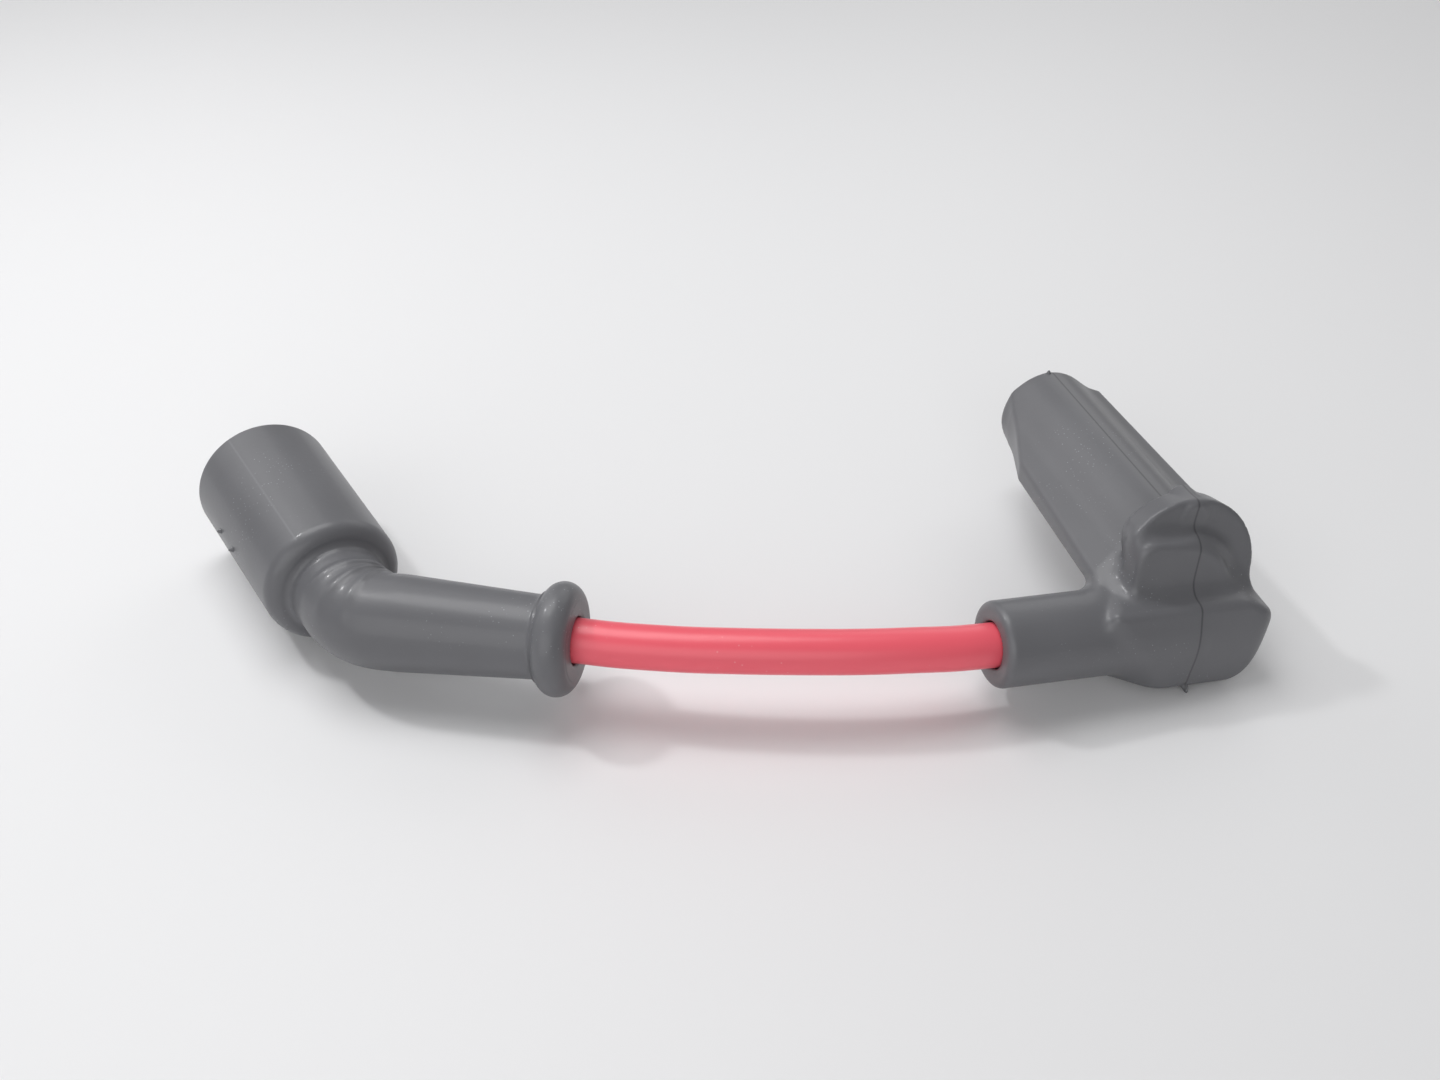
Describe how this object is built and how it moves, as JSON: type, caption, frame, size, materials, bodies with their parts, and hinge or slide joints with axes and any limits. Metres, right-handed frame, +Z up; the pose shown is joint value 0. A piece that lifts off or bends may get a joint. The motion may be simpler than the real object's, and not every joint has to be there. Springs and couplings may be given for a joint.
{
  "type": "spark plug wire",
  "caption": "Short spark plug wire: red silicone lead with a bent grey rubber plug boot and a right-angle grey rubber coil boot with grip wings.",
  "frame": {"origin": "on the table under the middle of the box round both boots", "axes": "+X along the wire from the plug boot to the coil boot, +Y the way both boot mouths face, +Z up"},
  "size_m": [0.2163, 0.0845, 0.036],
  "materials": {
    "boot_rubber": "satin moulded rubber, dark grey",
    "jacket_silicone": "smooth satin silicone, red",
    "insulation_rubber": "matt, off white",
    "core_fibre": "matt black, carbon loaded fibre",
    "terminal_steel": "bright plated sheet",
    "spring_steel": "plain spring wire"
  },
  "bodies": {
    "root": {"plug_boot": "boot_rubber", "plug_terminal": "terminal_steel", "plug_snap_spring": "spring_steel", "wire_jacket": "jacket_silicone", "wire_insulation": "insulation_rubber", "conductor_core": "core_fibre", "coil_boot": "boot_rubber", "coil_terminal": "terminal_steel", "coil_snap_spring": "spring_steel"}
  },
  "joints": []
}
